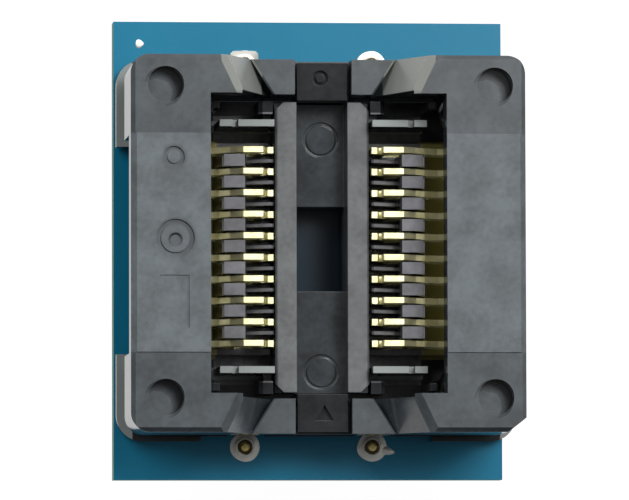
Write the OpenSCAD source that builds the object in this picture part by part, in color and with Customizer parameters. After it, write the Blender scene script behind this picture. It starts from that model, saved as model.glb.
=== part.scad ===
// Open-top zero-insertion-force socket for a 20-lead small-outline chip, on a plug-in adaptor board.
// Z = 0 is the underside of the plug's header strips, X and Y are centred on the plug's pins.
// The back of the socket is +Y. Pressing the frame-shaped cover down swings the contact arms open.

/* [Adaptor board] */
// Width of the board
board_w = 23.3; // [23:0.1:26]
// Length of the board
board_l = 27.4; // [26.6:0.1:32]
// Thickness of the board
board_t = 1.6; // [1.2:0.1:2]
// Distance from the middle of the pins to the middle of the board, towards the back
board_y = 0.3; // [0:0.05:0.5]

/* [Plug] */
// Pins in one row of the plug
plug_pins = 10; // [10:1:10]
// Distance from one plug pin to the next
plug_pitch = 2.54; // [2.54:0.01:2.54]
// Distance between the two rows of plug pins
row_space = 7.62; // [7.62:0.01:7.62]
// Diameter of the plug end of a pin
plug_d = 0.5; // [0.4:0.01:0.56]
// Length of the plug end of a pin
plug_len = 3.2; // [2.8:0.1:4]
// Height of the header strips
strip_h = 2.8; // [2.6:0.1:3.2]
// Width of a header strip
strip_w = 2.4; // [2.2:0.05:2.5]

/* [Socket] */
// Contacts on each side
contacts = 10; // [10:1:10]
// Distance from one contact to the next
pitch = 1.27; // [1.27:0.01:1.27]
// Thickness of the contacts' sheet metal
sheet = 0.38; // [0.25:0.01:0.4]
// Middle of the socket from the middle of the pins, to the right
socket_x = 0.4; // [0.3:0.01:0.42]
// Middle of the socket from the middle of the pins, towards the back
socket_y = 0.23; // [0.15:0.01:0.3]
// Width of the cover
cover_w = 23.2; // [23:0.05:23.3]
// Length of the cover
cover_l = 22.1; // [22:0.05:22.2]
// Height of the cover's top over the board, at rest
cover_h = 9.6; // [9.5:0.05:9.8]
// Distance that the cover travels down
travel = 2; // [1.5:0.1:2]
// Angle that the contact arms swing over the whole travel
swing = 28; // [20:1:28]

/* [Hidden] */
// Heights over the board's top and places from the middle of the socket are used inside socket().
board_top = strip_h + board_t;

// Plug
pin_hole_r = 0.45;
pin_land_r = 0.89;
square_land = 1.7;
pin_tail_r = 0.42;
pin_neck_r = 0.35;
strip_l = plug_pins * plug_pitch;

// Contacts: profile in X and height, for the right-hand side
row_l = (contacts - 1) * pitch;
pivot_x = 5.7;
pivot_h = 2.6;
hinge_r = 0.3;
hinge_gap = 0.05;
foot_bottom = 1.35;
foot_top = 1.85;
finger_in = 2.92;
finger_top = 4.85;
finger_tip_w = 0.43;
tail_x = [7.6, 9.5];
tail_len = board_t + 1;
lever_h = 4.1;
lever_t = 0.45;
lever_tip_x = 9.3;
lever_tip_h = 4.7;
lever_tip_r = 0.3;
head_x = 3.47;
head_l = 1.28;
head_top = 5.98;
slot_w = sheet + 0.06;
tail_hole_r = 0.4;

// Base
floor_bottom = 0.5;
floor_top = 1.6;
floor_half_w = 10.25;
floor_half_l = 8.9;
bank_in = 2.9;
bank_out = 10.3;
bank_top = 2.9;
bank_half_l = 6.3;
comb_in = 4.55;
comb_out = 6;
comb_top = 6;
comb_t = 0.72;
fin_t = 0.22;
fin_top = 5.4;
end_bar_y = 7.28;
end_bar_t = 0.42;
end_bar_out = 6.15;
end_bar_notch = [5.05, 5.38];
foot_h = 1.1;
flange_half_w = 11.95;
flange_half_l = 11.35;
skirt_start = 6.4;
well_half_w = 2.86;
well_half_l = 8.66;
solder_clear_w = 2.2;
solder_clear_h = 0.75;
spring_x = 8.4;
spring_y = 8.1;
spring_pad_x = 6.95;
hook_half_w = 1.5;
hook_bottom = 4.45;
hook_top = 5.2;
hook_out = 10.9;

// Seat
seat_half_w = 2.8;
seat_half_l = 8.6;
seat_bottom = 1.65;
seat_floor = 3;
rail_top = 5;
rail_in = 1.5;
seat_window_l = 5;

// Cover
plate_t = 2;
cover_r = 1.1;
corner_cut = [1.1, 0.85];
edge_bevel = 0.35;
plate_bottom = cover_h - plate_t;
skirt_bottom = cover_h - 6.3;
skirt_in_x = 10.33;
skirt_in_y = 9.88;
window_half_w = 6.93;
window_half_l = 8.78;
valley_half_l = 8.98;
valley_top = cover_h - 3.7;
valley_bottom = cover_h - 6.6;
valley_foot = 3.64;
valley_y = 10.02;
valley_turn = atan(0.64);
ramp_turn = atan(0.48);
ramp_slope = 2.1;
ramp_head = 5.75;
groove_turn = atan(0.31);
groove_slope = 2.65;
groove_head = 4.55;
groove_head_h = cover_h - 2.5;
bridge_top = hook_bottom - 0.15;
bridge_in = 9.4;
cam_gap = 0.15;
cam_bottom = lever_tip_h + lever_tip_r + cam_gap;
cam_in = 8.9;
cam_out = 10.35;
cam_half_l = 6.2;
bar_step = 0.08;
dimple = [9.67, 9.14, 1.05];
dimple_shift = [0.12, 0.12];

// Springs
wire_r = 0.17;
coil_r = 1;
coil_turns = 5;
coil_sides = 6;
coil_steps = 14;

SIDES = ["left", "right"];
ENDS = ["front", "back"];
$fn = 48;

// ---------------------------------------------------------------- helpers

function side_sign(side) = side == "left" ? -1 : 1;
function end_sign(end) = end == "front" ? -1 : 1;
function contact_y(i) = (i - 1) * pitch - row_l / 2;
function pin_y(i) = (i - 1) * plug_pitch - (plug_pins - 1) * plug_pitch / 2;
function contact_tail_x(i) = tail_x[i % 2];

// A box from its two opposite corners
module box(low, high) {
    translate(low) cube(high - low);
}

// The children, drawn about the middle of the socket with Z counted from the board's top
module socket() {
    translate([socket_x, socket_y, board_top]) children();
}

// The children, drawn for the right-hand side and mirrored if the side is the left one
module on_side(side) {
    scale_x = side_sign(side);
    if (scale_x < 0) mirror([1, 0, 0]) children();
    else children();
}

// The children, drawn for the back right quarter and repeated in all four
module in_quarters() {
    for (sx = [0, 1], sy = [0, 1]) mirror([sx, 0, 0]) mirror([0, sy, 0]) children();
}

// The children, drawn for the back and repeated at the front
module at_both_ends() {
    for (sy = [0, 1]) mirror([0, sy, 0]) children();
}

// The children, drawn for the right and repeated at the left
module at_both_sides() {
    for (sx = [0, 1]) mirror([sx, 0, 0]) children();
}

// A blanked piece of sheet metal: a profile in X and height, stood on edge at contact number i
module blanked(i) {
    translate([0, contact_y(i) + sheet / 2, 0]) rotate([90, 0, 0]) linear_extrude(sheet) children();
}

// A bar that runs along the contacts, the same length to the front and to the back: a profile in X and height
module along_row(half_l) {
    rotate([90, 0, 0]) linear_extrude(2 * half_l, center = true) children();
}

// A flat ring, for marks that are cut into a face
module ring_groove(r, width, depth) {
    rotate_extrude() translate([r - width / 2, -depth]) square([width, 2 * depth]);
}

// ---------------------------------------------------------------- adaptor board and plug

module board() {
    color("#176a8c") difference() {
        translate([-board_w / 2, board_y - board_l / 2, strip_h]) cube([board_w, board_l, board_t]);
        for (x = [-row_space / 2, row_space / 2], i = [1 : plug_pins])
            translate([x, pin_y(i), strip_h - 1]) cylinder(r = pin_hole_r, h = board_t + 2);
        for (s = [-1, 1], i = [1 : contacts])
            translate([socket_x + s * contact_tail_x(i), socket_y + contact_y(i), strip_h - 1])
                cylinder(r = tail_hole_r, h = board_t + 2);
    }
}

module header_strip(side) {
    waist = 0.3;
    color("#1b1c1e") translate([side_sign(side) * row_space / 2, 0, 0]) difference() {
        translate([-strip_w / 2, -strip_l / 2, 0]) cube([strip_w, strip_l, strip_h]);
        for (i = [1 : plug_pins]) translate([0, pin_y(i), 0]) {
            translate([0, 0, -1]) cylinder(r = pin_neck_r + 0.02, h = strip_h + 2);
            translate([0, 0, 0.5]) cylinder(r = 0.67, h = strip_h);
        }
        // Break notches between the pins
        for (i = [1 : plug_pins - 1], sx = [-1, 1])
            translate([sx * strip_w / 2, pin_y(i) + plug_pitch / 2, -1]) rotate([0, 0, 45])
                translate([-waist / 2, -waist / 2, 0]) cube([waist, waist, strip_h + 2]);
    }
}

// A turned pin: plug end, collar in the strip, tail through the board and the stub that shows on top
module plug_pin() {
    tip = 0.12;
    rotate_extrude() polygon([
        [0, -plug_len],
        [tip, -plug_len],
        [plug_d / 2, -plug_len + 0.3],
        [plug_d / 2, 0],
        [pin_neck_r, 0],
        [pin_neck_r, 0.6],
        [0.65, 0.6],
        [0.65, strip_h - 0.35],
        [pin_tail_r, strip_h - 0.15],
        [pin_tail_r, board_top + 0.06],
        [pin_tail_r - 0.06, board_top + 0.12],
        [plug_d / 2, board_top + 0.12],
        [plug_d / 2, board_top + 0.36],
        [plug_d / 2 - 0.1, board_top + 0.45],
        [0, board_top + 0.45]
    ]);
}

module plug_pins(side) {
    color("#c9a24a") for (i = [1 : plug_pins])
        translate([side_sign(side) * row_space / 2, pin_y(i), 0]) plug_pin();
}

// Solder rings on the round lands, with a square one at the pin that is counted first
module pin_solder(side) {
    first = side == "left" ? plug_pins : 0;
    rise = 0.2;
    inner = pin_tail_r + 0.015;
    land = 0.05;
    color("#d9dcd8") for (i = [1 : plug_pins])
        translate([side_sign(side) * row_space / 2, pin_y(i), board_top]) {
            rotate_extrude() polygon([
                [inner, 0],
                [pin_land_r, 0],
                [pin_land_r, land],
                [pin_land_r - 0.12, rise * 0.8],
                [pin_land_r - 0.3, rise],
                [inner, land]
            ]);
            if (i == first) difference() {
                translate([-square_land / 2, -square_land / 2, 0]) cube([square_land, square_land, land * 2]);
                translate([0, 0, -1]) cylinder(r = pin_land_r - 0.15, h = 2);
            }
        }
}

// Solder cones where the contact tails come through the board
module tail_solder(side) {
    color("#d9dcd8") socket() on_side(side) for (i = [1 : contacts]) difference() {
        translate([contact_tail_x(i), contact_y(i), -board_t - 0.6])
            cylinder(r1 = 0.32, r2 = 0.75, h = 0.6);
        blanked(i) tail_profile(contact_tail_x(i));
    }
}

// ---------------------------------------------------------------- contacts

module tail_profile(x) {
    half = 0.25;
    polygon([
        [x - half, foot_bottom + 0.1],
        [x - half, -tail_len + 0.25],
        [x - 0.1, -tail_len],
        [x + 0.1, -tail_len],
        [x + half, -tail_len + 0.25],
        [x + half, foot_bottom + 0.1]
    ]);
}

// Fixed part of a contact: tail, foot, lower finger, and the cup at the middle of the bent spring
module contact_profile(i) {
    post_in = 3.35;
    post_out = 3.85;
    cup_r = hinge_r + hinge_gap;
    cup_wall = 0.28;
    tail_profile(contact_tail_x(i));
    polygon([
        [post_in, foot_bottom],
        [10, foot_bottom],
        [10, foot_top],
        [post_out, foot_top],
        [post_out, finger_top - 0.85],
        [4.4, finger_top - 0.45],
        [4.8, finger_top - 0.25],
        [4.7, finger_top],
        [finger_in + finger_tip_w, finger_top],
        [finger_in + finger_tip_w, finger_top + 0.37],
        [finger_in + finger_tip_w - 0.1, finger_top + 0.45],
        [finger_in, finger_top + 0.45],
        [finger_in, finger_top - 0.4],
        [post_in, finger_top - 0.75]
    ]);
    difference() {
        translate([pivot_x, pivot_h]) circle(r = cup_r + cup_wall);
        translate([pivot_x, pivot_h]) circle(r = cup_r);
        translate([pivot_x, pivot_h]) rotate(28) translate([0, -2]) square([2, 4]);
    }
    translate([pivot_x - 0.4, foot_top - 0.1]) square([0.75, pivot_h - foot_top - cup_r - 0.05]);
}

// Moving part of a contact: hinge eye, upper half of the bent spring, upper finger and lever
module arm_profile() {
    lever_low = lever_h - lever_t / 2;
    lever_high = lever_h + lever_t / 2;
    translate([pivot_x, pivot_h]) circle(r = hinge_r);
    translate([lever_tip_x, lever_tip_h]) circle(r = lever_tip_r);
    polygon([
        [pivot_x - 0.1, pivot_h + 0.2],
        [pivot_x + 0.22, pivot_h + 0.1],
        [pivot_x + 0.4, pivot_h + 0.7],
        [pivot_x + 0.6, lever_low - 0.12],
        [pivot_x + 1.2, lever_low],
        [lever_tip_x - 0.8, lever_low - 0.02],
        [lever_tip_x + 0.08, lever_tip_h - 0.29],
        [lever_tip_x - 0.24, lever_tip_h + 0.18],
        [lever_tip_x - 0.78, lever_high - 0.1],
        [pivot_x + 1.2, lever_high],
        [pivot_x + 0.4, lever_high + 0.5],
        [pivot_x - 0.2, head_top - 0.46],
        [head_x + head_l, head_top],
        [head_x + 0.1, head_top],
        [head_x, head_top - 0.12],
        [head_x, head_top - 0.6],
        [head_x + 0.2, head_top - 1],
        [head_x + 0.43, head_top - 1],
        [head_x + 0.6, head_top - 0.68],
        [head_x + 1.08, head_top - 0.63],
        [pivot_x - 0.5, head_top - 0.92],
        [pivot_x - 0.1, head_top - 1.5],
        [pivot_x + 0.08, lever_low],
        [pivot_x, pivot_h + 0.8]
    ]);
}

module contact(side, i) {
    color("#b89145") socket() on_side(side) blanked(i) contact_profile(i);
}

module contact_arm(side, i) {
    color("#d6b562") socket() on_side(side) blanked(i) arm_profile();
}

// ---------------------------------------------------------------- base

// One corner of the base: flange, spring post and the walls that guide the cover's skirt
module base_corner() {
    flange_in = 6.9;
    flange_r = 1.5;
    guide_t = 0.4;
    guide_top = 5;
    post_h = 2;
    flange_y = skirt_start - 0.22;
    box([flange_in, flange_y, 0.3], [flange_half_w, flange_half_l - flange_r, foot_h]);
    box([flange_in, flange_y, 0.3], [flange_half_w - flange_r, flange_half_l, foot_h]);
    translate([flange_half_w - flange_r, flange_half_l - flange_r, 0.3]) cylinder(r = flange_r, h = foot_h - 0.3);
    translate([9.5, 9.2, 0]) cylinder(r = 0.9, h = 1);
    // Pad and post for the spring
    box([spring_pad_x, 7, floor_bottom], [floor_half_w, skirt_in_y - 0.08, floor_top]);
    translate([spring_x, spring_y, 1]) cylinder(r = 0.7, h = post_h);
    translate([spring_x, spring_y, 1 + post_h]) cylinder(r1 = 0.7, r2 = 0.5, h = 0.25);
    box([floor_half_w - guide_t, skirt_start + 0.3, 1], [floor_half_w, skirt_in_y - 0.08, guide_top]);
    box([7.2, skirt_in_y - 0.08 - guide_t, 1], [floor_half_w, skirt_in_y - 0.08, guide_top]);
}

// The hook at one end of the base, which holds the cover down against its springs
module end_hook() {
    mark_y = 10;
    difference() {
        union() {
            box([-hook_half_w, well_half_l + 0.02, 0.6], [hook_half_w, 9.25, hook_top]);
            box([-hook_half_w, well_half_l + 0.02, hook_bottom], [hook_half_w, hook_out, hook_top]);
        }
        children();
    }
}

// One side of the base: the bank that holds the contacts, with comb blocks and fins between them
module contact_bank() {
    along_row(bank_half_l) polygon([
        [bank_in, floor_top - 0.1],
        [bank_in, bank_top],
        [bank_out - 0.5, bank_top],
        [bank_out, bank_top - 0.5],
        [bank_out, floor_top - 0.1]
    ]);
    for (i = [1 : contacts - 1]) translate([0, contact_y(i) + pitch / 2, 0]) {
        along_row(comb_t / 2) polygon([
            [comb_in, bank_top - 0.1],
            [comb_in, comb_top - 0.2],
            [comb_in + 0.1, comb_top],
            [comb_out - 0.1, comb_top],
            [comb_out, comb_top - 0.2],
            [comb_out + 0.35, bank_top - 0.1]
        ]);
        along_row(fin_t / 2) polygon([
            [bank_in, bank_top - 0.1],
            [bank_in, fin_top - 0.15],
            [bank_in + 0.15, fin_top],
            [comb_in + 0.1, fin_top - 0.7],
            [comb_in + 0.1, bank_top - 0.1]
        ]);
    }
}

// End bar with its notch, the block behind it, and the small post at the corner of the window
module end_bar() {
    low = end_bar_y - end_bar_t / 2;
    block_top = 4.7;
    box([bank_in, low, floor_top - 0.1], [end_bar_out, low + end_bar_t, comb_top - 0.45]);
    box([bank_in, low, comb_top - 0.6], [end_bar_notch[0], low + end_bar_t, comb_top]);
    box([end_bar_notch[1], low, comb_top - 0.6], [end_bar_out, low + end_bar_t, comb_top]);
    difference() {
        box([bank_in, 7.9, floor_top - 0.1], [3.75, 8.68, block_top]);
        translate([3.75, 8.3, block_top]) rotate([0, 45, 0]) cube([0.35, 2, 0.35], center = true);
    }
    box([bank_in, low, floor_top - 0.1], [bank_in + 0.5, 8, 3.6]);
    box([6.2, 8.1, floor_top - 0.1], [6.65, 8.55, 6.5]);
}

module base() {
    color("#4a4d52") socket() difference() {
        union() {
            box([-floor_half_w, -floor_half_l, floor_bottom], [floor_half_w, floor_half_l, floor_top]);
            box([-bank_out, -bank_half_l, floor_bottom], [bank_out, bank_half_l, floor_top]);
            at_both_ends() box([-10, floor_half_l - 0.1, floor_bottom], [10, 11.06, 0.85]);
            in_quarters() base_corner();
            at_both_sides() contact_bank();
            in_quarters() end_bar();
            end_hook() translate([-0.1, 10, hook_top]) ring_groove(0.36, 0.2, 0.3);
            mirror([0, 1, 0]) end_hook() translate([0.1, 9.95, hook_top - 0.3]) rotate(-90)
                cylinder(r = 0.62, h = 1, $fn = 3);
        }
        // Well for the seat, and the window under it
        box([-well_half_w, -well_half_l, floor_top], [well_half_w, well_half_l, 9]);
        box([-rail_in, -seat_window_l / 2, -1], [rail_in, seat_window_l / 2, 9]);
        // Slots for the contacts
        at_both_sides() for (i = [1 : contacts]) {
            box(
                [bank_in - 1, contact_y(i) - slot_w / 2, foot_bottom],
                [bank_out + 1, contact_y(i) + slot_w / 2, 9]
            );
            translate([contact_tail_x(i) - 0.3, contact_y(i) - slot_w / 2, -1]) cube([0.6, slot_w, 4]);
        }
        // Room for the soldered ends of the plug's pins
        for (s = [-1, 1]) translate([s * row_space / 2 - socket_x - solder_clear_w / 2, -13, -1])
            cube([solder_clear_w, 26, 1 + solder_clear_h]);
        for (s = [-1, 1], sy = [0, 1]) mirror([0, sy, 0])
            translate([s * row_space / 2 - socket_x - solder_clear_w / 2, floor_half_l, -1])
                cube([solder_clear_w, 3, 3]);
    }
}

module chip_seat() {
    color("#6d7075") socket() difference() {
        box([-seat_half_w, -seat_half_l, seat_bottom], [seat_half_w, seat_half_l, rail_top]);
        box([-rail_in, -seat_half_l - 1, seat_floor], [rail_in, seat_half_l + 1, 9]);
        box([-rail_in, -seat_window_l / 2, 0], [rail_in, seat_window_l / 2, 9]);
        translate([0.1, 6.5, seat_floor]) ring_groove(0.95, 0.16, 0.12);
        translate([0.1, -7.3, seat_floor]) ring_groove(0.95, 0.16, 0.12);
        // Lead-in bevels on the outer corners of the rails
        in_quarters() translate([seat_half_w, seat_half_l, rail_top]) rotate([0, 0, 45])
            translate([-0.35, -0.35, -0.8]) cube([0.7, 0.7, 2]);
        at_both_sides() translate([seat_half_w, 0, rail_top]) rotate([0, 45, 0])
            cube([0.2, 40, 0.2], center = true);
    }
}

// ---------------------------------------------------------------- cover

// Outline of the cover, drawn in by a margin: three round corners and one cut corner, front right
module cover_outline(inset) {
    x = cover_w / 2 - inset;
    y = cover_l / 2 - inset;
    r = cover_r - inset / 2;
    difference() {
        translate([-x, -y]) square([2 * x, 2 * y]);
        for (c = [[-1, -1], [-1, 1], [1, 1]]) translate([c[0] * x, c[1] * y])
            translate([-r, -r]) square(2 * r);
        polygon([[x - corner_cut[0], -y], [x + 1, -y - 1], [x, -y + corner_cut[1]]]);
    }
    for (c = [[-1, -1], [-1, 1], [1, 1]]) translate([c[0] * (x - r), c[1] * (y - r)]) circle(r = r);
}

// What is taken off along the top edge of one straight side: a bevel on the side that faces +Y
module edge_cut(length, out) {
    translate([-length / 2, out, cover_h]) rotate([0, 90, 0]) linear_extrude(length)
        polygon([[edge_bevel, 0.01], [-0.01, -edge_bevel], [-0.2, -edge_bevel], [-0.2, 0.2], [edge_bevel, 0.2]]);
}

// All that lies above a plane. The plane passes through a point, its level lines are turned from Y, and it
// rises by the slope for each step to the right of them
module above_slope(point, turn, slope) {
    reach = 9;
    translate(point) rotate([0, 0, -turn]) rotate([90, 0, 0]) linear_extrude(4 * reach, center = true)
        polygon([[-reach, -slope * reach], [reach, slope * reach], [reach, slope * reach + reach], [-reach, 2 * reach]]);
}

// What is taken off above the dip in one end bar: down to its panel, and beyond the panel's slanting edge down
// to a ramp and to the groove at the ramp's foot
module valley_cut() {
    far = 14;
    rim = 0.12;
    run = tan(valley_turn);
    low = valley_half_l - 1;
    edge_low = valley_foot + (low - valley_y) * run;
    edge_far = valley_foot + (far - valley_y) * run;
    translate([0, 0, valley_top]) linear_extrude(far) polygon([[-1, low], [edge_low, low], [edge_far, far], [-1, far]]);
    intersection() {
        translate([0, 0, valley_bottom + 0.8]) linear_extrude(far)
            polygon([[edge_low, low], [far, low], [far, far], [edge_far, far]]);
        union() {
            above_slope([ramp_head, valley_y, cover_h], ramp_turn, ramp_slope);
            above_slope([ramp_head + 0.33, valley_y, cover_h], ramp_turn, 1);
            above_slope([groove_head, valley_y, groove_head_h], groove_turn, groove_slope);
        }
    }
    intersection() {
        translate([0, 0, valley_top - 1]) linear_extrude(far) polygon([
            [edge_low - 2 * rim, low],
            [edge_low + rim, low],
            [edge_far + rim, far],
            [edge_far - 2 * rim, far]
        ]);
        above_slope([valley_foot - rim, valley_y, valley_top], valley_turn, -1);
    }
}

module cover() {
    color("#5a5d62") socket() difference() {
        union() {
            translate([0, 0, plate_bottom]) linear_extrude(plate_t - bar_step) cover_outline(0);
            translate([0, 0, plate_bottom]) linear_extrude(plate_t) intersection() {
                cover_outline(0);
                square([30, 2 * skirt_start], center = true);
            }
            translate([0, 0, skirt_bottom]) linear_extrude(plate_bottom - skirt_bottom + 0.1) difference() {
                cover_outline(0);
                square([30, 2 * skirt_start], center = true);
            }
            at_both_ends() box([-5, valley_half_l, valley_bottom], [5, cover_l / 2, plate_bottom]);
            at_both_sides() box([cam_in, -cam_half_l, cam_bottom], [cam_out, cam_half_l, plate_bottom + 0.1]);
        }
        // Window over the chip and the contacts
        box([-window_half_w, -window_half_l, 0], [window_half_w, window_half_l, 20]);
        box([-5.05, -valley_half_l, 0], [5.05, valley_half_l, 20]);
        // Hollow corners for the springs
        in_quarters() {
            box([window_half_w - 0.1, skirt_start - 1, 0], [skirt_in_x, skirt_in_y, plate_bottom]);
            box([-1, skirt_start - 1, 0], [window_half_w, valley_half_l, plate_bottom]);
        }
        // Dips in the end bars, and the notches for the hooks of the base
        in_quarters() valley_cut();
        at_both_ends() {
            box([-1.62, valley_half_l - 1, 0], [1.62, bridge_in, 20]);
            box([-1.68, valley_half_l - 1, bridge_top], [1.68, 13, 20]);
        }
        // Dimples at the corners, and round marks of the mould
        for (sx = [-1, 1], sy = [-1, 1])
            translate([sx * dimple[0] + dimple_shift[0], sy * dimple[1] + dimple_shift[1], cover_h - 0.65])
                cylinder(r = dimple[2], h = 2);
        translate([-9.09, 5, cover_h]) ring_groove(0.5, 0.24, 0.12);
        translate([-9.01, 0.25, cover_h]) ring_groove(0.98, 0.26, 0.12);
        translate([-9.01, 0.15, cover_h - 0.12]) cylinder(r1 = 0.3, r2 = 0.5, h = 0.2);
        // An empty bracket beside them
        box([-9.9, -2.03, cover_h - 0.07], [-8.2, -1.91, cover_h + 1]);
        box([-8.32, -5, cover_h - 0.07], [-8.2, -1.91, cover_h + 1]);
        // Bevel along the top edge
        at_both_ends() edge_cut(cover_w, cover_l / 2);
        at_both_sides() rotate(-90) edge_cut(cover_l, cover_w / 2);
    }
}

// ---------------------------------------------------------------- springs

// A coil spring: rings of points swept along a helix, with the ends closed
module coil(height) {
    steps = coil_turns * coil_steps;
    rise = height - 2 * wire_r;
    points = [
        for (k = [0 : steps], j = [0 : coil_sides - 1])
            let (
                a = 360 * k / coil_steps,
                b = 360 * j / coil_sides,
                r = coil_r + wire_r * cos(b),
                z = wire_r + rise * k / steps + wire_r * sin(b)
            )
            [r * cos(a), r * sin(a), z]
    ];
    walls = [
        for (k = [0 : steps - 1], j = [0 : coil_sides - 1])
            let (n = (j + 1) % coil_sides, low = k * coil_sides, high = low + coil_sides)
            [low + j, high + j, high + n, low + n]
    ];
    start = [for (j = [0 : coil_sides - 1]) j];
    finish = [for (j = [coil_sides - 1 : -1 : 0]) steps * coil_sides + j];
    polyhedron(points, concat([start], walls, [finish]));
}

module corner_spring(end, side) {
    bottom = floor_top + 0.02;
    color("#b9bcc0") socket() translate([side_sign(side) * spring_x, end_sign(end) * spring_y, bottom])
        coil(plate_bottom - bottom - 0.02);
}

// ---------------------------------------------------------------- nodes

board();
for (s = SIDES) {
    header_strip(s);
    plug_pins(s);
    pin_solder(s);
    tail_solder(s);
    for (i = [1 : contacts]) {
        contact(s, i);
        contact_arm(s, i);
    }
    for (e = ENDS) corner_spring(e, s);
}
base();
chip_seat();
cover();
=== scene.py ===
# %% [markdown]
# # Open-top chip socket on a plug-in board
#
# The solids of this socket are already made: a board, a moulded base, a frame-shaped
# cover and forty small contact parts. This lesson dresses them. It sets the camera and
# the light, gives every solid a finish, and adds the small things that solids carry
# badly: solder, coiled wire and the bends of the contact springs.

import bmesh
import bpy
import numpy as np
from mathutils import Matrix, Vector


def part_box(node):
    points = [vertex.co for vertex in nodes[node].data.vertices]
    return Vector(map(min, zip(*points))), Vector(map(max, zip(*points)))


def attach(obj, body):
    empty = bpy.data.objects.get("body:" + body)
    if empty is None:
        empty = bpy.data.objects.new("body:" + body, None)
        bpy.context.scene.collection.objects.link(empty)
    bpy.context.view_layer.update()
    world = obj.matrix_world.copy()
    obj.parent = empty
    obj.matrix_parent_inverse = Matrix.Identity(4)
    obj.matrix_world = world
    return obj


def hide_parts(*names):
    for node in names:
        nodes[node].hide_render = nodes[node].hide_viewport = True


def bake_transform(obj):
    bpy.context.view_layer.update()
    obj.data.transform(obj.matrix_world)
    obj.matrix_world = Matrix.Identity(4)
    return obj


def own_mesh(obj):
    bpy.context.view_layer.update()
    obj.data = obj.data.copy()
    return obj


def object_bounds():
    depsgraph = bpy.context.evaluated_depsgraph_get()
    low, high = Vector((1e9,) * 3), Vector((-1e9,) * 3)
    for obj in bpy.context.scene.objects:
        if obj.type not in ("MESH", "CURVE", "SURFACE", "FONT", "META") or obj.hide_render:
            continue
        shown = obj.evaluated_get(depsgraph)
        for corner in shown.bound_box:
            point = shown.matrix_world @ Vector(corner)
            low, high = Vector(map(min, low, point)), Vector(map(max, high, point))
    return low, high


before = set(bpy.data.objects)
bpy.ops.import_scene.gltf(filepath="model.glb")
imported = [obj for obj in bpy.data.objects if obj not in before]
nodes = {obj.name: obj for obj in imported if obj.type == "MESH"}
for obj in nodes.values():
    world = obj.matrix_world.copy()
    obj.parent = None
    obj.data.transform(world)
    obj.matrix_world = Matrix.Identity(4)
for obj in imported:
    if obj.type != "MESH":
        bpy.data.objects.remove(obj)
cad_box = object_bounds()
print("nodes:", len(nodes))
print("box in mm:", [tuple(round(v * 1000, 2) for v in corner) for corner in cad_box])

# %% [markdown]
# ## Places and sizes
#
# Everything is in metres and starts from the middle of the plug's pins. The socket sits
# a little off that middle, and its own heights count from the top of the board.

# %% Named places
MM = 0.001
SOCKET = np.array([0.4, 0.23, 4.4]) * MM
BOARD_TOP = 4.4 * MM
BOARD_T = 1.6 * MM
PITCH = 1.27 * MM
PIN_PITCH = 2.54 * MM
ROWS = 7.62 * MM
SHEET = 0.38 * MM
PLATE_BOTTOM = 7.6 * MM
COVER_TOP = SOCKET[2] + 9.6 * MM
NUMBERS = range(1, 11)
MIDDLE_NUMBER = 5.5
SIDES = ["left", "right"]
ENDS = ["front", "back"]
SIGN = {"left": -1, "right": 1, "front": -1, "back": 1}


def contact_y(number):
    """Place of a contact along its row: steps of one pitch, centred on the socket."""
    return SOCKET[1] + (number - MIDDLE_NUMBER) * PITCH


def pin_y(number):
    """Place of a plug pin along its row: steps of one pin pitch, centred on the plug."""
    return (number - MIDDLE_NUMBER) * PIN_PITCH


ends = [round(contact_y(number) / MM, 2) for number in (NUMBERS[0], NUMBERS[-1])]
print("contacts run from", ends[0], "to", ends[1], "mm")

# %% [markdown]
# ## Camera
#
# A small thing seen from far away with a long lens has almost no perspective. The
# camera looks down at the board, leaning about five degrees to one side and three
# to the front. Its axes are worked out as vectors and put into one matrix.

# %% Camera
LEAN_X, LEAN_Y, ROLL = np.radians([-5.182, -3.311, -0.1418])
DISTANCE = 0.40776
LENS_MM, SENSOR_MM = 390.08, 36
target = np.array([0.394, 0.355, 4.4]) * MM
back = np.array([np.sin(LEAN_X), np.sin(LEAN_Y), 0.0])
back[2] = np.sqrt(1 - back[0] ** 2 - back[1] ** 2)
right = np.cross([0, 1, 0], back)
right /= np.linalg.norm(right)
up = np.cross(back, right)
rolled_right = np.cos(ROLL) * right + np.sin(ROLL) * up
rolled_up = np.cos(ROLL) * up - np.sin(ROLL) * right
place = target + DISTANCE * back

camera_data = bpy.data.cameras.new("camera")
camera_data.lens = LENS_MM
camera_data.sensor_width = SENSOR_MM
camera_data.sensor_fit = "HORIZONTAL"
camera_data.clip_start = 0.02
camera_data.clip_end = 20
camera = bpy.data.objects.new("camera", camera_data)
bpy.context.scene.collection.objects.link(camera)
axes = np.column_stack([rolled_right, rolled_up, back, place])
camera.matrix_world = Matrix(np.vstack([axes, [0, 0, 0, 1]]).tolist())
bpy.context.scene.camera = camera
bpy.context.scene.view_settings.view_transform = "Standard"
print("camera at", [round(float(v), 4) for v in place])

# %% [markdown]
# ## Meshes from arrays
#
# Every new piece is a grid of points: rows along one direction, columns round or
# across the other. One helper joins neighbouring points with four-sided faces, and
# another puts several grids into a single mesh.

# %% Mesh helpers


def grid_faces(rows, columns, closed=False):
    """Four-sided faces over rows of points; closed joins the last column to the first."""
    steps = columns if closed else columns - 1
    i, j = np.meshgrid(np.arange(rows - 1), np.arange(steps), indexing="ij")
    k = (j + 1) % columns
    here, above = i * columns, (i + 1) * columns
    return np.stack([here + j, here + k, above + k, above + j], -1).reshape(-1, 4)


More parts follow.
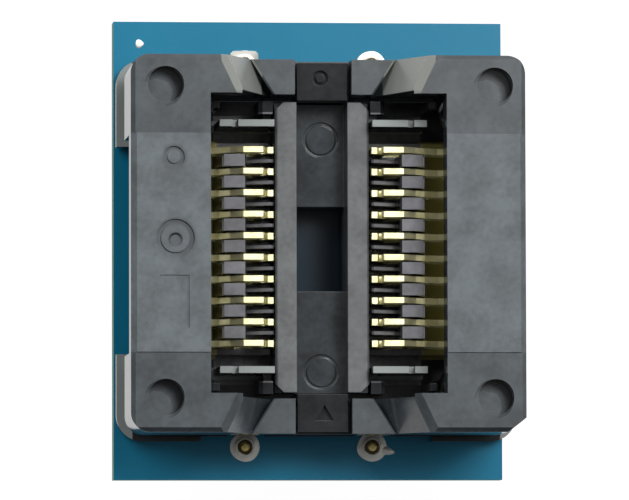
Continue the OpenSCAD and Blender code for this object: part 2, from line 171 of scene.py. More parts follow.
def mesh_object(name, parts, smooth=True):
    """One object from a list of (points, faces) pairs, each counting its points from 0."""
    points, faces, start = [], [], 0
    for part_points, part_faces in parts:
        part_points = np.asarray(part_points, float).reshape(-1, 3)
        points.append(part_points)
        faces += [tuple(int(v) + start for v in face) for face in part_faces]
        start += len(part_points)
    mesh = bpy.data.meshes.new(name)
    mesh.from_pydata(np.concatenate(points).tolist(), [], faces)
    mesh.polygons.foreach_set("use_smooth", np.full(len(mesh.polygons), smooth))
    mesh.update()
    thing = bpy.data.objects.new(name, mesh)
    bpy.context.scene.collection.objects.link(thing)
    return thing


def capped_tube(rings):
    """Rings of points joined into a tube, with a flat face at each end."""
    rows, columns = rings.shape[:2]
    faces = grid_faces(rows, columns, closed=True).tolist()
    faces.append(list(range(columns))[::-1])
    faces.append([(rows - 1) * columns + k for k in range(columns)])
    return rings.reshape(-1, 3), faces


def outwards(thing):
    """Turn every face of a closed mesh outwards."""
    work = bmesh.new()
    work.from_mesh(thing.data)
    bmesh.ops.recalc_face_normals(work, faces=work.faces)
    work.to_mesh(thing.data)
    work.free()
    return thing


print("mesh helpers ready")

# %% [markdown]
# ## Floor and backdrop
#
# The socket stands on a white sheet that curves up behind it. In the picture and in
# reflections the sheet is nearly as bright as white paper, and the lamps' shadow still
# falls on it. To the rest of the scene it is an ordinary pale sheet.

# %% Floor
FLOOR_Z = cad_box[0][2]


def backdrop(width, depth, height, bend):
    """A sheet: flat along Y, then a quarter circle of radius bend, then straight up."""
    turn = np.linspace(0, np.pi / 2, 24)
    y = np.concatenate([[-depth], depth + bend * np.sin(turn), [depth + bend]])
    z = np.concatenate([[0], bend - bend * np.cos(turn), [height]]) + FLOOR_Z
    points = np.stack([np.stack([np.full_like(y, x), y, z], -1) for x in (-width, width)], 1)
    return mesh_object("floor", [(points, grid_faces(len(y), 2)[:, ::-1])])


floor = backdrop(width=1.2, depth=0.8, height=1.4, bend=0.5)
print("floor at", round(FLOOR_Z / MM, 2), "mm")

# %% [markdown]
# Three kinds of ray see the paper bright: those from the camera, mirrored ones and
# those that pass through glass. All others see a plain pale sheet.

# %% White paper
PLAIN_GREY, SEEN_GREY, SEEN_GLOW = 0.35, 0.12, 0.97
paper = bpy.data.materials.new("white_paper")
paper.use_nodes = True
tree = paper.node_tree
tree.nodes.clear()
output = tree.nodes.new("ShaderNodeOutputMaterial")
rays = tree.nodes.new("ShaderNodeLightPath")
seen = tree.nodes.new("ShaderNodeMath")
seen_all = tree.nodes.new("ShaderNodeMath")
seen.operation = seen_all.operation = "MAXIMUM"
plain = tree.nodes.new("ShaderNodeBsdfDiffuse")
plain.inputs["Color"].default_value = (PLAIN_GREY, PLAIN_GREY, PLAIN_GREY, 1)
shaded = tree.nodes.new("ShaderNodeBsdfDiffuse")
shaded.inputs["Color"].default_value = (SEEN_GREY, SEEN_GREY, SEEN_GREY, 1)
glow = tree.nodes.new("ShaderNodeEmission")
glow.inputs["Strength"].default_value = SEEN_GLOW
bright = tree.nodes.new("ShaderNodeAddShader")
pick = tree.nodes.new("ShaderNodeMixShader")
for source, socket in (
    (rays.outputs["Is Camera Ray"], seen.inputs[0]),
    (rays.outputs["Is Glossy Ray"], seen.inputs[1]),
    (seen.outputs[0], seen_all.inputs[0]),
    (rays.outputs["Is Transmission Ray"], seen_all.inputs[1]),
    (shaded.outputs[0], bright.inputs[0]),
    (glow.outputs[0], bright.inputs[1]),
    (seen_all.outputs[0], pick.inputs[0]),
    (plain.outputs[0], pick.inputs[1]),
    (bright.outputs[0], pick.inputs[2]),
    (pick.outputs[0], output.inputs["Surface"]),
):
    tree.links.new(source, socket)
floor.data.materials.append(paper)
print("paper has", len(tree.nodes), "nodes")

# %% [markdown]
# ## Light
#
# The main lamp is a small soft box behind the socket and a little to the right, about
# 27 degrees off straight up. A wide, weak box beside it gives the broad sheen on the
# board and the metal. Two low, wide boxes at the back left and at the right reach into
# the pockets. Nothing shines from the front, so what faces the viewer's side is dark.

# %% Lamps


def lamp(name, direction, distance, size, glow):
    """A square lamp that looks at the plug's middle. Energy = glow x pi x its area."""
    direction = np.array(direction, float)
    direction /= np.linalg.norm(direction)
    data = bpy.data.lights.new(name, "AREA")
    data.shape = "SQUARE"
    data.size = size
    data.energy = glow * np.pi * size**2
    thing = bpy.data.objects.new(name, data)
    thing.location = direction * distance
    thing.rotation_euler = Vector(-direction).to_track_quat("-Z", "Y").to_euler()
    bpy.context.scene.collection.objects.link(thing)
    return thing


lamp("key_box", (0.33, 0.38, 1.0), 0.7, 0.22, 15.0)
lamp("sheen_box", (0.42, 0.42, 1.0), 0.75, 0.48, 1.8)
lamp("left_box", (-0.8, 0.65, 1.0), 0.8, 0.5, 3.7)
lamp("right_box", (1.0, 0.3, 0.9), 0.8, 0.5, 1.2)

WORLD_GLOW = 0.12
world = bpy.data.worlds.new("studio")
bpy.context.scene.world = world
world.use_nodes = True
background = world.node_tree.nodes["Background"]
background.inputs["Color"].default_value = (1, 1, 1, 1)
background.inputs["Strength"].default_value = WORLD_GLOW

# %% [markdown]
# ## Finishes
#
# Each finish is a small net of nodes on the object's own coordinates. Slow noise lets
# the colour drift, fine noise tilts the surface like the grain of a spark-eroded
# mould, and the shader's own sockets carry what is the same everywhere.

# %% Finish helpers


def screen(r, g, b):
    """A colour written as 0 to 255 screen values, turned into light values."""
    c = np.array([r, g, b]) / 255
    light = np.where(c <= 0.04045, c / 12.92, ((c + 0.055) / 1.055) ** 2.4)
    return tuple(float(v) for v in light)


class Net:
    """A material's node net, with short ways to add and join nodes."""

    def __init__(self, name):
        self.material = bpy.data.materials.new(name)
        self.material.use_nodes = True
        self.tree = self.material.node_tree
        self.shader = self.tree.nodes["Principled BSDF"]
        self.where = self.add("TexCoord").outputs["Object"]

    def add(self, kind, **settings):
        """Add a shader node and set its properties."""
        node = self.tree.nodes.new("ShaderNode" + kind)
        for key, value in settings.items():
            setattr(node, key, value)
        return node

    def join(self, source, socket):
        """Join an output to an input; a plain number is written on the socket instead."""
        if hasattr(source, "is_output"):
            self.tree.links.new(source, socket)
        else:
            socket.default_value = source

    def noise(self, size, detail=2.0):
        """Noise whose blobs are about size metres across, from 0 to 1."""
        node = self.add("TexNoise")
        self.join(self.where, node.inputs["Vector"])
        node.inputs["Scale"].default_value = 1 / size
        node.inputs["Detail"].default_value = detail
        return node.outputs["Fac"]

    def math(self, operation, a, b):
        """One step of arithmetic on two numbers or outputs."""
        node = self.add("Math", operation=operation)
        self.join(a, node.inputs[0])
        self.join(b, node.inputs[1])
        return node.outputs[0]

    def times(self, a, b):
        """One number or output times another."""
        return self.math("MULTIPLY", a, b)

    def spread(self, value, low, high, to_low=0.0, to_high=1.0):
        """Stretch a value from one range to another, and stop at the ends."""
        node = self.add("MapRange")
        for number, item in enumerate([value, low, high, to_low, to_high]):
            self.join(item, node.inputs[number])
        return node.outputs[0]

    def mix(self, share, a, b):
        """Mix two colours by a share from 0 to 1."""
        node = self.add("Mix", data_type="RGBA")
        self.join(share, node.inputs[0])
        for item, socket in ((a, node.inputs[6]), (b, node.inputs[7])):
            self.join(item if hasattr(item, "is_output") else (*item, 1.0), socket)
        return node.outputs[2]

    def coordinate(self, axis):
        """One of the object's own coordinates, in metres."""
        node = self.add("SeparateXYZ")
        self.join(self.where, node.inputs[0])
        return node.outputs[axis]

    def drafted(self, slope=0.08):
        """The surface's direction plus slope times straight up.

        Upright walls lean back like a mould's drafted walls, and flat tops stay.
        """
        lean = self.add("VectorMath", operation="ADD")
        self.join(self.add("NewGeometry").outputs["Normal"], lean.inputs[0])
        lean.inputs[1].default_value = (0, 0, slope)
        unit = self.add("VectorMath", operation="NORMALIZE")
        self.join(lean.outputs[0], unit.inputs[0])
        return unit.outputs[0]

    def bump(self, height, depth, normal=None):
        """Tilt the surface by a height that runs from 0 to 1 over depth metres."""
        node = self.add("Bump")
        if normal is not None:
            self.join(normal, node.inputs["Normal"])
        node.inputs["Strength"].default_value = 1.0
        node.inputs["Distance"].default_value = depth
        self.join(height, node.inputs["Height"])
        self.join(node.outputs["Normal"], self.shader.inputs["Normal"])

    def set(self, **values):
        """Write plain values on the shader's own sockets."""
        for key, value in values.items():
            title = key.replace("_", " ").title().replace("Ior", "IOR")
            self.shader.inputs[title].default_value = value


def dress(material, *names):
    """Put a finish on CAD nodes."""
    for name in names:
        thing = nodes[name]
        thing.data.materials.clear()
        thing.data.materials.append(material)


print("finish helpers ready")

# %% [markdown]
# ## Moulded plastic
#
# The cover, the base and the seat are black glass-filled plastic. Where the mould was
# spark-eroded the surface is a fine grain that scatters the light and looks grey. Where
# the mould was polished the same plastic mirrors the dark room and looks nearly black.
# So each finish mixes two colours and two gloss levels by a mask: 1 is grainy, 0 smooth.

# %% Plastic helpers
SMOOTH_ROUGH, GRAIN_ROUGH = 0.14, 0.5
GRAIN, GRAIN_DEEP = 0.07 * MM, 0.004 * MM
DARKER, LIGHTER = 0.72, 1.28
# A band that starts at FROM_MIDDLE has no inner limit, one that ends at OUTSIDE no outer one.
FROM_MIDDLE, OUTSIDE = -1 * MM, 20 * MM


def moulded(name, smooth_colour, grain_colour):
    """Moulded plastic. Returns the net, and a function that joins it up by a mask."""
    net = Net(name)

    def finish(mask, *patches):
        """Mix smooth and grainy plastic by the mask, each with clouds in its colour.

        A patch is a mask and a colour that is laid over the mix.
        """
        fine = net.times(net.noise(0.35 * MM, 3), 0.5)
        cloud = net.spread(net.math("ADD", net.noise(1.6 * MM, 5), fine), 0.55, 0.95)
        pair = []
        for base in (smooth_colour, grain_colour):
            shades = [tuple(c * factor for c in base) for factor in (DARKER, LIGHTER)]
            pair.append(net.mix(cloud, *shades))
        colour = net.mix(mask, *pair)
        for patch, patch_colour in patches:
            colour = net.mix(patch, colour, patch_colour)
        net.join(colour, net.shader.inputs["Base Color"])
        drift = net.spread(net.noise(0.5 * MM), 0.3, 0.7, -0.02, 0.02)
        gloss = net.math("ADD", net.spread(mask, 0, 1, SMOOTH_ROUGH, GRAIN_ROUGH), drift)
        net.join(gloss, net.shader.inputs["Roughness"])
        height = net.times(net.noise(GRAIN, 3), net.spread(mask, 0, 1, 0.04, 1))
        net.bump(height, GRAIN_DEEP, net.drafted())
        net.set(ior=1.55)
        return net.material

    return net, finish


def between(net, value, low, high, soft=0.03 * MM):
    """1 where the value lies between low and high, 0 outside, with short slopes."""
    rise = net.spread(value, low - soft, low + soft)
    fall = net.spread(value, high - soft, high + soft, 1, 0)
    return net.times(rise, fall)


def off_middle(net, axis):
    """Signed place along X (0) or Y (1), counted from the socket's middle."""
    return net.math("SUBTRACT", net.coordinate(axis), float(SOCKET[axis]))


def away(net, axis):
    """Distance from the socket's middle along X (0) or Y (1)."""
    return net.math("ABSOLUTE", off_middle(net, axis), 0.0)


def length(net, parts):
    """Square root of the sum of two squares."""
    squares = [net.times(value, value) for value in parts]
    return net.math("SQRT", net.math("ADD", *squares), 0.0)


def facing(net, axis, low, high):
    """0 to 1 by how far the surface looks along an axis, from its own direction."""
    split = net.add("SeparateXYZ")
    net.join(net.add("NewGeometry").outputs["Normal"], split.inputs[0])
    return net.spread(split.outputs[axis], low, high)


print("plastic helpers ready")

# %% [markdown]
# ## The cover's plastic
#
# The bars between the corners are grainy and the four corners less so, while upright
# walls and the front slopes are smooth; on the front slopes the darker colour is painted
# shade. A painted shadow darkens the back right side of the four round dimples. Their
# places are turned so that one formula serves all four.

# %% Cover grain and dimples
PANEL_END = 6.4 * MM
CORNER_GRAIN = 0.44
DIMPLE_AT = (9.67 * MM, 9.14 * MM)
DIMPLE_R = 1.16 * MM
SHADOW_SHIFT = 0.4 * MM

cover_net, cover_finish = moulded("cover_plastic", (0.03, 0.036, 0.041), (0.088, 0.105, 0.114))
panel = between(cover_net, away(cover_net, 1), FROM_MIDDLE, PANEL_END)
panel = cover_net.spread(panel, 0, 1, CORNER_GRAIN, 1.0)
# Upright walls and faces that look to the front take the smooth colour; on the front slopes this
# darker colour is painted shade.
grainy = cover_net.times(facing(cover_net, 2, 0.2, 0.45), facing(cover_net, 1, -0.6, -0.45))
cover_mask = cover_net.times(panel, grainy)

in_quarter = []
for axis, reach in enumerate(DIMPLE_AT):
    side_of = cover_net.math("SIGN", off_middle(cover_net, axis), 0.0)
    beyond = cover_net.math("SUBTRACT", away(cover_net, axis), reach)
    in_quarter.append(cover_net.times(beyond, side_of))
in_dimple = between(cover_net, length(cover_net, in_quarter), FROM_MIDDLE, DIMPLE_R)
sunk_from, sunk_to = float(COVER_TOP - 0.12 * MM), float(COVER_TOP - 0.04 * MM)
below = cover_net.spread(cover_net.coordinate(2), sunk_from, sunk_to, 1, 0)
# Painted shadow: the back right side of each dimple is painted near black, as the shadow of its
# rim.
shifted = [cover_net.math("ADD", value, SHADOW_SHIFT) for value in in_quarter]
shadow_side = cover_net.spread(length(cover_net, shifted), 0.8 * MM, 1.35 * MM)
dimple_shadow = cover_net.times(cover_net.times(in_dimple, below), shadow_side)
cover_mask = cover_net.times(cover_mask, cover_net.spread(dimple_shadow, 0, 1, 1, 0))
print("dimples at", [round(reach / MM, 2) for reach in DIMPLE_AT], "mm from the middle")

# %% [markdown]
# The sloping faces of the back valleys are painted pale, a painted highlight. The rings
# that the mould's plugs left on the left bar are painted darker, most towards their back
# right, a painted shade in their grooves.

# %% Cover highlight and ring shade, painted
VALLEY = (3.6 * MM, 6.3 * MM)
# place from the socket's middle, inner and outer radius, all in mm
RINGS = ((-9.09, 5.0, 0.42, 0.74), (-9.01, 0.25, 0.82, 1.2), (-9.01, 0.25, -1, 0.4))

# Painted highlight: the sloping faces at the back of the valleys are painted pale.
valley = cover_net.times(between(cover_net, away(cover_net, 0), *VALLEY), below)
at_back = cover_net.spread(cover_net.coordinate(1), 8.8 * MM, 9.2 * MM)
sloping = cover_net.times(facing(cover_net, 2, 0.2, 0.4), facing(cover_net, 2, 0.99, 0.97))
valley_highlight = cover_net.times(cover_net.times(valley, at_back), sloping)

# Painted shade: each ring is painted darker, most towards its back right, as shade in its groove.
ring_shade = 0.0
for x, y, inner, outer in RINGS:
    offsets = [
        cover_net.math("SUBTRACT", cover_net.coordinate(axis), float(SOCKET[axis] + at * MM))
        for axis, at in ((0, x), (1, y))
    ]
    far = length(cover_net, offsets)
    diagonal = cover_net.math("ADD", *offsets)
    shade = cover_net.spread(diagonal, -1.2 * MM, 1.0 * MM, 0.15, 0.85)
    ring = cover_net.times(between(cover_net, far, inner * MM, outer * MM, 0.1 * MM), shade)
    ring_shade = cover_net.math("MAXIMUM", ring, ring_shade)
cover_finish(
    cover_mask,
    (ring_shade, (0.03, 0.036, 0.04)),
    (valley_highlight, (0.27, 0.28, 0.26)),
    (dimple_shadow, (0.004, 0.005, 0.006)),
)
dress(cover_net.material, "cover")
print("cover has", len(cover_net.tree.nodes), "nodes")

# %% [markdown]
# ## The base's plastic
#
# Only the tops of the comb blocks and the fins are grainy. The end bars and the flange
# are painted pale where they look up, a painted light, and the floor under the levers is tinted
# olive gold.

# %% Base finish
COMB, FINS = (4.4 * MM, 6.2 * MM), (2.9 * MM, 4.4 * MM)
COMB_END = 8.0 * MM
END_BARS = (7.0 * MM, 7.7 * MM)
END_BAR_REACH = 6.3 * MM
FLANGE_FROM = 11.0 * MM
TROUGH = (6.1 * MM, 8.8 * MM)
TROUGH_END = 6.5 * MM

base_net, base_finish = moulded("base_plastic", (0.022, 0.023, 0.026), (0.15, 0.15, 0.165))
across, along = away(base_net, 0), away(base_net, 1)
comb = between(base_net, across, *COMB)
fins = base_net.times(between(base_net, across, *FINS), 0.8)
rows_end = between(base_net, along, FROM_MIDDLE, COMB_END)
inner_rows = base_net.times(base_net.math("MAXIMUM", comb, fins), rows_end)
bars = between(base_net, along, *END_BARS)
end_bars = base_net.times(bars, between(base_net, across, FROM_MIDDLE, END_BAR_REACH))
flange = between(base_net, across, FLANGE_FROM, OUTSIDE)
looks_up = facing(base_net, 2, 0.5, 0.8)
# Painted light: the up-facing end bars and flange are painted pale, as if lit.
bars_painted_light = base_net.times(base_net.math("MAXIMUM", end_bars, flange), looks_up)
trough = between(base_net, along, FROM_MIDDLE, TROUGH_END)
trough = base_net.times(between(base_net, across, *TROUGH), trough)
trough = base_net.times(base_net.times(trough, looks_up), 0.9)
base_finish(
    base_net.times(inner_rows, looks_up),
    (bars_painted_light, (0.27, 0.3, 0.29)),
    (trough, (0.34, 0.3, 0.09)),
)
dress(base_net.material, "base")
print("base has", len(base_net.tree.nodes), "nodes")

# %% [markdown]
# The seat's two rails are grainy on top, and its floor lies lower and is smooth. The
# header strips under the board are plain black.

# %% Seat and header finishes
seat_net, seat_finish = moulded("seat_plastic", (0.052, 0.058, 0.063), (0.105, 0.112, 0.115))
seat_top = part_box("chip_seat")[1][2]
rail_from, rail_to = float(seat_top - 0.5 * MM), float(seat_top - 0.3 * MM)
rails = seat_net.spread(seat_net.coordinate(2), rail_from, rail_to)
seat_finish(seat_net.times(rails, facing(seat_net, 2, 0.5, 0.8)))
dress(seat_net.material, "chip_seat")

header_net, header_finish = moulded("header_plastic", (0.012, 0.012, 0.013), (0.03, 0.03, 0.032))
header_finish(facing(header_net, 2, 0.5, 0.8))
dress(header_net.material, *[f"{side}_header_strip" for side in SIDES])
print("plastics:", [net.material.name for net in (cover_net, base_net, seat_net, header_net)])

# %% [markdown]
# ## The board
#
# Blue solder mask is a glossy lacquer over woven glass. Its cut edges show the bare
# laminate, a dull green-yellow with faint layers. The face's own direction tells the
# two apart. Under the window of the seat the mask is painted dark, a painted shadow.

# %% Board finish
WINDOW_SHADOW_HALF = (3.6 * MM, 3.4 * MM)
LAYER = 1.2 * MM
board_net = Net("board_mask")
direction = board_net.add("NewGeometry").outputs["Normal"]
split = board_net.add("SeparateXYZ")
board_net.join(direction, split.inputs[0])
flat = board_net.spread(board_net.math("ABSOLUTE", split.outputs[2], 0.0), 0.4, 0.6)
mask = board_net.mix(board_net.noise(3 * MM, 3), screen(12, 114, 148), screen(20, 124, 158))
# Painted shadow: the mask under the seat's window is painted dark.
window_shadow = board_net.times(
    between(board_net, away(board_net, 0), FROM_MIDDLE, WINDOW_SHADOW_HALF[0]),
    between(board_net, away(board_net, 1), FROM_MIDDLE, WINDOW_SHADOW_HALF[1]),
)
mask = board_net.mix(window_shadow, mask, screen(16, 42, 58))
layers = board_net.add("TexWave", wave_type="BANDS", bands_direction="Z")
board_net.join(board_net.where, layers.inputs["Vector"])
layers.inputs["Scale"].default_value = 1 / LAYER
layers.inputs["Distortion"].default_value = 1.5
laminate = board_net.mix(layers.outputs["Fac"], screen(70, 128, 120), screen(110, 150, 128))
board_net.join(board_net.mix(flat, laminate, mask), board_net.shader.inputs["Base Color"])
board_net.join(board_net.spread(flat, 0, 1, 0.65, 0.22), board_net.shader.inputs["Roughness"])
board_net.bump(board_net.noise(0.9 * MM, 2), 0.004 * MM)
board_net.set(ior=1.5)
dress(board_net.material, "board")
print("board finish:", board_net.material.name)

# %% [markdown]
# ## Metals
#
# The contacts are blanked from sheet and gold plated. Plating is never a perfect
# mirror: it has faint rolling lines and cloudy patches. The plug's pins are turned
# and plated, the solder is tin with a soft bright skin.

# %% Metals


def metal(
    name, colour, second, rough, patch=0.8 * MM, deep=0.002 * MM, metallic=1.0, dull_from=None
):
    """Plated metal: two close colours in patches, cloudy roughness, fine ripples.

    Beyond dull_from the gloss is lower.
    """
    net = Net(name)
    patches = net.spread(net.noise(patch, 3), 0.35, 0.65)
    net.join(net.mix(patches, colour, second), net.shader.inputs["Base Color"])
    gloss = net.spread(net.noise(patch / 2, 2), 0.3, 0.7, rough - 0.06, rough + 0.06)
    if dull_from is not None:
        dull = net.spread(away(net, 0), dull_from, dull_from + 1 * MM, 0, 0.18)
        gloss = net.math("ADD", gloss, dull)
    net.join(gloss, net.shader.inputs["Roughness"])
    net.bump(net.noise(patch / 6, 2), deep)
    net.set(metallic=metallic)
    return net.material


contact_gold = metal(
    "contact_gold",
    (0.93, 0.89, 0.58),
    (0.84, 0.79, 0.44),
    0.46,
    deep=0.0004 * MM,
    dull_from=5.2 * MM,
)
pin_gold = metal("pin_gold", (0.80, 0.64, 0.28), (0.70, 0.54, 0.2), 0.35)
tin = metal("solder", (0.95, 0.94, 0.88), (0.86, 0.86, 0.80), 0.5, patch=0.5 * MM, metallic=0.7)
steel = metal("spring_steel", (0.17, 0.17, 0.18), (0.12, 0.12, 0.13), 0.35)
dress(pin_gold, *[f"{side}_plug_pins" for side in SIDES])
dress(contact_gold, *[name for name in nodes if "_contact_" in name])
dress(tin, *[f"{side}_{kind}_solder" for side in SIDES for kind in ("pin", "tail")])
dress(steel, *[name for name in nodes if name.endswith("_spring")])
print("metals:", [m.name for m in (contact_gold, pin_gold, tin, steel)])

# %% [markdown]
# ## Broken edges
#
# No moulded or blanked edge is perfectly sharp: a tiny round catches a line of light.
# The solids' triangles are first welded at their shared corners and merged where they
# lie in one plane. Then a bevel rounds the edges that turn by more than a few degrees.
# Its hardened normals keep flat faces flat and let the rounds run smoothly into them.

# %% Edge rounding


WELD = 1e-6
FLAT_ANGLE, BEVEL_ANGLE = np.radians([0.3, 11.5])


def break_edges(name, width, segments=2):
    """Weld, Decimate and Bevel modifiers on a CAD node, with hardened normals."""
    thing = nodes[name]
    mesh = thing.data
    for attribute in ("custom_normal", "sharp_edge"):
        if attribute in mesh.attributes:
            mesh.attributes.remove(mesh.attributes[attribute])
    mesh.polygons.foreach_set("use_smooth", np.ones(len(mesh.polygons), bool))
    weld = thing.modifiers.new("weld", "WELD")
    weld.merge_threshold = WELD
    planar = thing.modifiers.new("planar", "DECIMATE")
    planar.decimate_type = "DISSOLVE"
    planar.angle_limit = FLAT_ANGLE
    bevel = thing.modifiers.new("bevel", "BEVEL")
    bevel.width = width
    bevel.segments = segments
    bevel.limit_method = "ANGLE"
    bevel.angle_limit = BEVEL_ANGLE
    bevel.harden_normals = True


break_edges("cover", 0.06 * MM)
break_edges("base", 0.04 * MM)
break_edges("chip_seat", 0.06 * MM)
break_edges("board", 0.03 * MM, segments=1)
for side in SIDES:
    break_edges(f"{side}_header_strip", 0.05 * MM)
    for number in NUMBERS:
        break_edges(f"{side}_contact_{number}", 0.03 * MM)
        break_edges(f"{side}_contact_arm_{number}", 0.04 * MM)
print("edges broken on", sum(1 for thing in nodes.values() if thing.modifiers), "nodes")

# %% [markdown]
# ## Coil springs
#
# A spring is a round wire on a helix. Its end turns lie flat, so that it stands
# straight. The wire's ring at each step is built from two directions: away from the
# spring's axis and straight up.

# %% Springs
WIRE = 0.17 * MM
COIL = 1.0 * MM
SPRING_FOOT = 1.62 * MM
SPRING_AT = np.array([8.4, 8.1]) * MM


def coil(centre, low, high, turns=6.5, steps=36, sides=10, dead=0.9):
    """Wire on a helix of radius COIL.

    Height = the share of the free height that the turn has reached, plus one wire
    thickness over each flat end turn.
    """
    turn = np.linspace(0, turns, int(turns * steps) + 1)
    share = np.clip((turn - dead) / (turns - 2 * dead), 0, 1)
    flat_ends = np.clip(turn / dead, 0, 1) + np.clip((turn - turns + dead) / dead, 0, 1)
    z = low + WIRE + 2 * WIRE * flat_ends + share * (high - low - 6 * WIRE)
    spin = 2 * np.pi * turn[:, None]
    section = np.linspace(0, 2 * np.pi, sides, endpoint=False)[None]
    radius = COIL + WIRE * np.cos(section)
    x = centre[0] + radius * np.cos(spin)
    y = centre[1] + radius * np.sin(spin)
    return capped_tube(np.stack([x, y, z[:, None] + WIRE * np.sin(section)], -1))


spring_low = SOCKET[2] + SPRING_FOOT
spring_high = SOCKET[2] + PLATE_BOTTOM - 0.02 * MM
for end in ENDS:
    for side in SIDES:
        centre = SOCKET[:2] + np.array([SIGN[side], SIGN[end]]) * SPRING_AT
        wire = coil(centre, spring_low, spring_high)
        spring = outwards(mesh_object(f"{end}_{side}_coil", [wire]))
        spring.data.materials.append(steel)
        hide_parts(f"{end}_{side}_spring")
        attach(spring, "socket_body")
        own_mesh(spring)

# %% [markdown]
# ## Bends of the contact springs
#
# Between its fixed foot and its moving arm each contact is a narrow strip, bent round
# like a C. It is the part that flexes; here each row's bends are drawn as one piece.

# %% Contact bends
PIVOT = np.array([5.7, 2.6]) * MM
SOFT_FROM, SOFT_TO = SOCKET[2] + 2.0 * MM, SOCKET[2] + 3.15 * MM


def bend_strip(side, y, radius=0.8 * MM, thick=0.17 * MM, start=-78, stop=56, steps=26):
    """A strip along an arc about the contact's pivot, as wide as the sheet.

    Its inner and outer faces lie half a thickness to each side of the arc.
    """
    angle = np.radians(np.linspace(start, stop, steps))
    corners = np.array([[-0.5, -0.5], [0.5, -0.5], [0.5, 0.5], [-0.5, 0.5]])
    reach = radius + corners[:, 0][None] * thick
    x = PIVOT[0] + reach * np.cos(angle)[:, None]
    z = SOCKET[2] + PIVOT[1] + reach * np.sin(angle)[:, None]
    across = y + corners[:, 1][None] * (SHEET - 0.02 * MM) + 0 * x
    return capped_tube(np.stack([SOCKET[0] + SIGN[side] * x, across, z], -1))


for side in SIDES:
    strips = [bend_strip(side, contact_y(number)) for number in NUMBERS]
    bends = outwards(mesh_object(f"{side}_contact_bends", strips, smooth=False))
    bends.data.materials.append(contact_gold)
    x = float(SOCKET[0] + SIGN[side] * (PIVOT[0] + 0.5 * MM))
    start, end = [(x, float(SOCKET[1]), float(z)) for z in (SOFT_FROM, SOFT_TO)]
    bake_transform(bends)
print("bends on", len(SIDES), "rows")

# %% [markdown]
# ## Solder
#
# Molten tin wets the round land and climbs the pin in a hollow curve. Each joint is a
# profile turned about the pin, and its radius wavers a little, because no two joints
# set alike.

# %% Solder shapes
LAND = 0.89 * MM
RIM = 0.035 * MM
chance = np.random.default_rng(20)


def turned(centre, radii, heights, base, up=1, steps=40, waver=0.0):
    """A closed profile turned about Z, with rows as its points and columns round it.

    waver lets the radius swell and shrink in 2, 3 and 5 slow waves.
    """
    spin = np.linspace(0, 2 * np.pi, steps, endpoint=False)
    waves = sum(
        chance.normal(0, waver) * np.cos(k * spin + chance.uniform(0, 6.28)) for k in (2, 3, 5)
    )
    radii = np.asarray(radii, float)[:, None] * (1 + waves[None])
    z = base + up * np.asarray(heights, float)[:, None] + 0 * radii
    x, y = centre[0] + radii * np.cos(spin), centre[1] + radii * np.sin(spin)
    rows = np.stack([x, y, z], -1)
    rows = np.concatenate([rows, rows[:1]])
    return rows.reshape(-1, 3), grid_faces(len(rows), steps, closed=True)


def fillet(outer, inner, height, count=12):
    """Radii and heights of a hollow curve, flat at its outer edge and steep at the inner."""
    share = np.linspace(0, 1, count)
    radii = outer + (inner - outer) * np.sin(share * np.pi / 2)
    heights = RIM + (height - RIM) * (1 - np.cos(share * np.pi / 2)) ** 1.2
    return radii, heights


def rounded_square(centre, half, power, low, high, steps=32):
    """A flat plate from low to high. Its outline is a superellipse of the given power."""
    spin = np.linspace(0, 2 * np.pi, steps, endpoint=False) + np.pi / steps
    reach = half / (np.abs(np.cos(spin)) ** power + np.abs(np.sin(spin)) ** power) ** (1 / power)
    ring = np.stack([centre[0] + reach * np.cos(spin), centre[1] + reach * np.sin(spin)], -1)
    rows = np.stack([np.column_stack([ring, np.full(steps, z)]) for z in (low, high)])
    return capped_tube(rows)


print("solder shapes ready")

# %% [markdown]
# A dark, glossy olive ring lies round the end of each pin.

# %% Dark ring finish
dark_ring_net = Net("dark_ring_finish")
ring_colour = dark_ring_net.mix(dark_ring_net.noise(0.25 * MM, 3), (0.035, 0.028, 0.006), (0.10, 0.08, 0.02))
dark_ring_net.join(ring_colour, dark_ring_net.shader.inputs["Base Color"])
ring_gloss = dark_ring_net.spread(dark_ring_net.noise(0.15 * MM), 0.3, 0.7, 0.1, 0.25)
dark_ring_net.join(ring_gloss, dark_ring_net.shader.inputs["Roughness"])
dark_ring_net.bump(dark_ring_net.noise(0.12 * MM, 2), 0.006 * MM)
print("flux finish:", dark_ring_net.material.name)

# %% [markdown]
# On top of the board each pin has a low joint and its dark, glossy ring. The first pin's
# land is square, which marks it.

# %% Pin joints
PIN_END = 0.12 * MM
HOLE_R, JOINT_TOP_R = 0.44 * MM, 0.48 * MM
JOINT_H, JOINT_INNER_H = 0.2 * MM, 0.16 * MM
SQUARE_HALF, SQUARE_POWER, SQUARE_H = 0.85 * MM, 9, 0.06 * MM

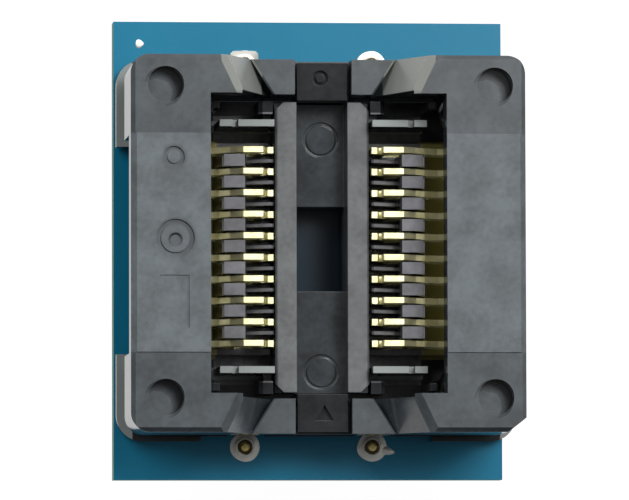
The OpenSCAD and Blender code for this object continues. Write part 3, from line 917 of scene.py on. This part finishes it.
for side in SIDES:
    joints, pin_rings = [], []
    for number in NUMBERS:
        centre = (SIGN[side] * ROWS / 2, pin_y(number))
        radii, heights = fillet(LAND, 0.52 * MM, JOINT_H)
        radii = np.concatenate([[HOLE_R, LAND], radii, [JOINT_TOP_R, HOLE_R]])
        heights = np.concatenate([[0.0, 0.0], heights, [JOINT_H, JOINT_INNER_H]])
        joints.append(turned(centre, radii, heights, BOARD_TOP, waver=0.012))
        round_part = np.linspace(0, np.pi, 9)
        ring_radii = 0.35 * MM - 0.09 * MM * np.cos(round_part)
        ring_heights = PIN_END - 0.01 * MM + 0.06 * MM * np.sin(round_part)
        pin_rings.append(turned(centre, ring_radii, ring_heights, BOARD_TOP, steps=28, waver=0.03))
    if side == "left":
        first = (-ROWS / 2, pin_y(NUMBERS[-1]))
        land_top = BOARD_TOP + SQUARE_H
        joints.append(rounded_square(first, SQUARE_HALF, SQUARE_POWER, BOARD_TOP, land_top))
    solder = outwards(mesh_object(f"{side}_pin_joints", joints))
    solder.data.materials.append(tin)
    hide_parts(f"{side}_pin_solder")
    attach(solder, "socket_body")
    rings = outwards(mesh_object(f"{side}_dark_pin_rings", pin_rings))
    rings.data.materials.append(dark_ring_net.material)
    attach(rings, "socket_body")
print("pin joints done")

# %% [markdown]
# The contacts' tails come through the board in two staggered lines. Under the board
# each carries a steeper cone of solder with a hollow side.

# %% Tail joints
TAIL_LINES = {0: 7.6 * MM, 1: 9.5 * MM}
TAIL_LAND, TAIL_R, CONE_H = 0.75 * MM, 0.2 * MM, 0.62 * MM
for side in SIDES:
    cones = []
    for number in NUMBERS:
        centre = (SOCKET[0] + SIGN[side] * TAIL_LINES[number % 2], contact_y(number))
        radii, heights = fillet(TAIL_LAND, 0.34 * MM, CONE_H)
        radii = np.concatenate([[TAIL_R, TAIL_LAND], radii, [TAIL_R]])
        heights = np.concatenate([[0.0, 0.0], heights, [0.7 * MM]])
        cones.append(turned(centre, radii, heights, BOARD_TOP - BOARD_T, up=-1, waver=0.015))
    solder = outwards(mesh_object(f"{side}_tail_joints", cones))
    solder.data.materials.append(tin)
    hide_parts(f"{side}_tail_solder")
    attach(solder, "socket_body")
print("tail joints done")

# %% [markdown]
# Over the plug's pins the base is cut away from below. A thin skin of plastic closes
# each cut towards the window, so that the joints inside don't show.

# %% Skins over the pins
SKIN_Y = 9.25 * MM
SKIN_EDGE = np.array([[-1.09, -0.62], [1.09, -0.62], [1.09, 0.62], [-1.09, 0.62]]) * MM
# each ring's height over the board in mm and its size: the outermost two are a little smaller
SKIN_RINGS = ((0.56, 0.96), (0.6, 1.0), (0.8, 1.0), (0.84, 0.96))

skins = []
for side in SIDES:
    for end in ENDS:
        x = SIGN[side] * ROWS / 2
        y = SOCKET[1] + SIGN[end] * SKIN_Y
        rings = []
        for h, k in SKIN_RINGS:
            level = np.full(len(SKIN_EDGE), BOARD_TOP + h * MM)
            rings.append(np.column_stack([x + SKIN_EDGE[:, 0] * k, y + SKIN_EDGE[:, 1] * k, level]))
        skins.append(capped_tube(np.stack(rings)))
skin = outwards(mesh_object("pin_skins", skins, smooth=False))
skin.data.materials.append(base_net.material)
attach(skin, "socket_body")
print("skins:", len(skins))

# %% [markdown]
# One joint at the front has a small spur, where the iron pulled the tin aside. Near
# the back left corner of the board a bare tinned dot shows through the mask.

# %% Spur and dot


def droplet(centre, along, length, width, height, rows=14, columns=24):
    """A low drop: half a squashed ball with its long side along a direction.

    It narrows towards its far end.
    """
    tilt = np.linspace(0, np.pi / 2, rows)[:, None]
    spin = np.linspace(0, 2 * np.pi, columns, endpoint=False)[None]
    forward = np.cos(tilt) * np.cos(spin)
    sideways = np.cos(tilt) * np.sin(spin) * (1 - 0.35 * forward)
    x, y = length * forward, width * sideways
    c, s = np.cos(along), np.sin(along)
    z = height * np.sin(tilt) + 0 * spin
    rings = np.stack([centre[0] + c * x - s * y, centre[1] + s * x + c * y, centre[2] + z], -1)
    return capped_tube(rings)


SPUR_LEAN = np.radians(-14)
SPUR_REACH = 1.0 * MM
DOT_AT = (-10.07 * MM, 12.68 * MM, BOARD_TOP)

spur_x = ROWS / 2 + SPUR_REACH * np.cos(SPUR_LEAN)
spur_y = pin_y(1) + SPUR_REACH * np.sin(SPUR_LEAN)
drop = droplet((spur_x, spur_y, BOARD_TOP), SPUR_LEAN, 0.4 * MM, 0.24 * MM, 0.16 * MM)
spur = outwards(mesh_object("solder_spur", [drop]))
drop = droplet(DOT_AT, 0.0, 0.25 * MM, 0.25 * MM, 0.06 * MM)
dot = outwards(mesh_object("tinned_dot", [drop]))
for piece in (spur, dot):
    piece.data.materials.append(tin)
    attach(piece, "socket_body")
print("small solder pieces done")
